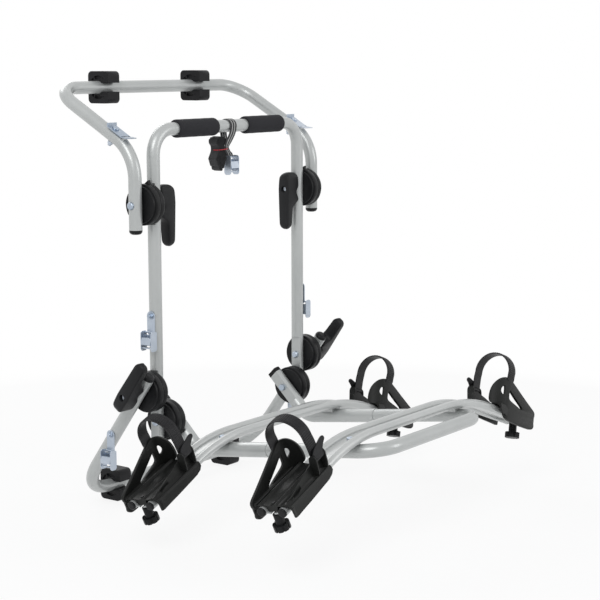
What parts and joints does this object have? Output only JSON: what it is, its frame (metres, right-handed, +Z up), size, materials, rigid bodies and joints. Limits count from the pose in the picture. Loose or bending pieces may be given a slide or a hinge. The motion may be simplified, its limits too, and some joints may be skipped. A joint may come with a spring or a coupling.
{
  "type": "trunk mounted bike rack",
  "caption": "Folding trunk mounted bike rack: tube arch, two leaning frames with rubber saddles and a fold-down platform with wheel rails and strapped wheel holders.",
  "frame": {"origin": "middle of the rack's box, at its bottom, where the lower saddles end", "axes": "+Y towards the car, +X across the car, +Z up"},
  "size_m": [1.025, 0.8705, 1.0264],
  "materials": {
    "frame_paint": "satin",
    "rail_metal": "satin",
    "zinc": "satin",
    "foam": "matte",
    "saddle_rubber": "matte",
    "webbing": "matte",
    "black_plastic": "matte"
  },
  "bodies": {
    "main_frame": {"main_arch": "frame_paint", "foam_grips": "foam", "leg_end_plugs": "black_plastic", "upper_inner_discs": "black_plastic", "lower_inner_discs": "black_plastic", "platform_outer_discs": "black_plastic", "leg_hinge_bolts": "zinc", "leg_buckle_bolts": "zinc", "main_strap_loop": "webbing", "main_strap_hank": "webbing", "main_buckle_frame": "zinc"},
    "main_buckle_cam": {"main_cam": "zinc"},
    "upper_frame": {"upper_frame_tube": "frame_paint", "upper_arm_caps": "black_plastic", "upper_outer_discs": "black_plastic", "upper_hinge_bolts": "zinc", "upper_saddles": "saddle_rubber", "upper_strap_plates": "zinc"},
    "lower_frame": {"lower_frame_tube": "frame_paint", "lower_arm_caps": "black_plastic", "lower_outer_discs": "black_plastic", "lower_saddles": "saddle_rubber", "arm_buckle_bolts": "zinc"},
    "platform": {"platform_bars": "frame_paint", "platform_hoop": "frame_paint", "platform_inner_discs": "black_plastic", "platform_arm_caps": "black_plastic", "rail_inner": "rail_metal", "rail_outer": "rail_metal", "rail_end_caps": "black_plastic", "rail_saddles": "rail_metal", "rail_bolts": "zinc"},
    "upper_lever_left": {"upper_lever_left": "black_plastic"},
    "lower_lever_left": {"lower_lever_left": "black_plastic"},
    "leg_buckle_left": {"leg_buckle_left": "zinc"},
    "leg_cam_left": {"leg_cam_left": "zinc"},
    "arm_buckle_left": {"arm_buckle_left": "zinc"},
    "arm_cam_left": {"arm_cam_left": "zinc"},
    "holder_inner_left": {"holder_inner_left": "black_plastic", "ladder_strap_inner_left": "black_plastic"},
    "ratchet_lever_inner_left": {"ratchet_lever_inner_left": "black_plastic"},
    "clamp_knob_inner_left": {"clamp_knob_inner_left": "black_plastic"},
    "holder_outer_left": {"holder_outer_left": "black_plastic", "ladder_strap_outer_left": "black_plastic"},
    "ratchet_lever_outer_left": {"ratchet_lever_outer_left": "black_plastic"},
    "clamp_knob_outer_left": {"clamp_knob_outer_left": "black_plastic"},
    "upper_lever_right": {"upper_lever_right": "black_plastic"},
    "lower_lever_right": {"lower_lever_right": "black_plastic"},
    "leg_buckle_right": {"leg_buckle_right": "zinc"},
    "leg_cam_right": {"leg_cam_right": "zinc"},
    "arm_buckle_right": {"arm_buckle_right": "zinc"},
    "arm_cam_right": {"arm_cam_right": "zinc"},
    "holder_inner_right": {"holder_inner_right": "black_plastic", "ladder_strap_inner_right": "black_plastic"},
    "ratchet_lever_inner_right": {"ratchet_lever_inner_right": "black_plastic"},
    "clamp_knob_inner_right": {"clamp_knob_inner_right": "black_plastic"},
    "holder_outer_right": {"holder_outer_right": "black_plastic", "ladder_strap_outer_right": "black_plastic"},
    "ratchet_lever_outer_right": {"ratchet_lever_outer_right": "black_plastic"},
    "clamp_knob_outer_right": {"clamp_knob_outer_right": "black_plastic"}
  },
  "joints": [
    {"name": "upper_frame_fold", "type": "hinge", "parent": "main_frame", "child": "upper_frame", "pos_m": [0, 0.15825, 0.73136], "axis": [1, 0, 0], "range_deg": [-110, 130]},
    {"name": "lower_frame_fold", "type": "hinge", "parent": "main_frame", "child": "lower_frame", "pos_m": [0, 0.15825, 0.30336], "axis": [1, 0, 0], "range_deg": [-35, 130]},
    {"name": "platform_fold", "type": "hinge", "parent": "main_frame", "child": "platform", "pos_m": [0, 0.15425, 0.22836], "axis": [1, 0, 0], "range_deg": [-60, 20]},
    {"name": "main_cam_press", "type": "hinge", "parent": "main_frame", "child": "main_buckle_cam", "pos_m": [-0.003, 0.14725, 0.80804], "axis": [1, 0, 0], "range_deg": [-80, 0]},
    {"name": "upper_lever_left_turn", "type": "hinge", "parent": "main_frame", "child": "upper_lever_left", "pos_m": [-0.24, 0.15825, 0.73136], "axis": [1, 0, 0], "range_deg": [-170, 0]},
    {"name": "lower_lever_left_turn", "type": "hinge", "parent": "lower_frame", "child": "lower_lever_left", "pos_m": [-0.368, 0.15825, 0.30336], "axis": [1, 0, 0], "range_deg": [-170, 0]},
    {"name": "leg_buckle_left_swing", "type": "hinge", "parent": "main_frame", "child": "leg_buckle_left", "pos_m": [-0.287, 0.15825, 0.47636], "axis": [1, 0, 0], "range_deg": [-40, 40]},
    {"name": "leg_cam_left_press", "type": "hinge", "parent": "leg_buckle_left", "child": "leg_cam_left", "pos_m": [-0.2986, 0.15825, 0.42304], "axis": [0, 1, 0], "range_deg": [0, 80]},
    {"name": "arm_buckle_left_swing", "type": "hinge", "parent": "lower_frame", "child": "arm_buckle_left", "pos_m": [-0.3491, 0.23231, 0.20142], "axis": [1, 0, 0], "range_deg": [-40, 40]},
    {"name": "arm_cam_left_press", "type": "hinge", "parent": "arm_buckle_left", "child": "arm_cam_left", "pos_m": [-0.3607, 0.23231, 0.1481], "axis": [0, 1, 0], "range_deg": [0, 80]},
    {"name": "holder_inner_left_slide", "type": "slide", "parent": "platform", "child": "holder_inner_left", "axis": [-0.9367, -0.0463, -0.3471], "range_m": [-0.02, 0.01]},
    {"name": "ratchet_lever_inner_left_lift", "type": "hinge", "parent": "holder_inner_left", "child": "ratchet_lever_inner_left", "pos_m": [-0.40138, -0.03461, 0.20834], "axis": [-0.9367, -0.0463, -0.3471], "range_deg": [-90, 0]},
    {"name": "clamp_knob_inner_left_turn", "type": "hinge", "parent": "holder_inner_left", "child": "clamp_knob_inner_left", "pos_m": [-0.48319, -0.00187, 0.08479], "axis": [-0.3502, 0.1239, 0.9284], "continuous": true},
    {"name": "holder_outer_left_slide", "type": "slide", "parent": "platform", "child": "holder_outer_left", "axis": [-0.9367, -0.0463, -0.3471], "range_m": [-0.02, 0.01]},
    {"name": "ratchet_lever_outer_left_lift", "type": "hinge", "parent": "holder_outer_left", "child": "ratchet_lever_outer_left", "pos_m": [-0.40138, -0.38761, 0.25392], "axis": [-0.9367, -0.0463, -0.3471], "range_deg": [-90, 0]},
    {"name": "clamp_knob_outer_left_turn", "type": "hinge", "parent": "holder_outer_left", "child": "clamp_knob_outer_left", "pos_m": [-0.48319, -0.35487, 0.13037], "axis": [-0.3502, 0.1239, 0.9284], "continuous": true},
    {"name": "upper_lever_right_turn", "type": "hinge", "parent": "main_frame", "child": "upper_lever_right", "pos_m": [0.24, 0.15825, 0.73136], "axis": [1, 0, 0], "range_deg": [-170, 0]},
    {"name": "lower_lever_right_turn", "type": "hinge", "parent": "lower_frame", "child": "lower_lever_right", "pos_m": [0.368, 0.15825, 0.30336], "axis": [1, 0, 0], "range_deg": [-170, 0]},
    {"name": "leg_buckle_right_swing", "type": "hinge", "parent": "main_frame", "child": "leg_buckle_right", "pos_m": [0.287, 0.15825, 0.47636], "axis": [1, 0, 0], "range_deg": [-40, 40]},
    {"name": "leg_cam_right_press", "type": "hinge", "parent": "leg_buckle_right", "child": "leg_cam_right", "pos_m": [0.2986, 0.15825, 0.42304], "axis": [0, 1, 0], "range_deg": [-80, 0]},
    {"name": "arm_buckle_right_swing", "type": "hinge", "parent": "lower_frame", "child": "arm_buckle_right", "pos_m": [0.3491, 0.23231, 0.20142], "axis": [1, 0, 0], "range_deg": [-40, 40]},
    {"name": "arm_cam_right_press", "type": "hinge", "parent": "arm_buckle_right", "child": "arm_cam_right", "pos_m": [0.3607, 0.23231, 0.1481], "axis": [0, 1, 0], "range_deg": [-80, 0]},
    {"name": "holder_inner_right_slide", "type": "slide", "parent": "platform", "child": "holder_inner_right", "axis": [0.9367, -0.0463, -0.3471], "range_m": [-0.02, 0.01]},
    {"name": "ratchet_lever_inner_right_lift", "type": "hinge", "parent": "holder_inner_right", "child": "ratchet_lever_inner_right", "pos_m": [0.40138, 0.06213, 0.19543], "axis": [0.9367, -0.0463, -0.3471], "range_deg": [-90, 0]},
    {"name": "clamp_knob_inner_right_turn", "type": "hinge", "parent": "holder_inner_right", "child": "clamp_knob_inner_right", "pos_m": [0.48319, -0.00187, 0.08479], "axis": [0.3502, 0.1239, 0.9284], "continuous": true},
    {"name": "holder_outer_right_slide", "type": "slide", "parent": "platform", "child": "holder_outer_right", "axis": [0.9367, -0.0463, -0.3471], "range_m": [-0.02, 0.01]},
    {"name": "ratchet_lever_outer_right_lift", "type": "hinge", "parent": "holder_outer_right", "child": "ratchet_lever_outer_right", "pos_m": [0.40138, -0.29087, 0.24102], "axis": [0.9367, -0.0463, -0.3471], "range_deg": [-90, 0]},
    {"name": "clamp_knob_outer_right_turn", "type": "hinge", "parent": "holder_outer_right", "child": "clamp_knob_outer_right", "pos_m": [0.48319, -0.35487, 0.13037], "axis": [0.3502, 0.1239, 0.9284], "continuous": true}
  ]
}
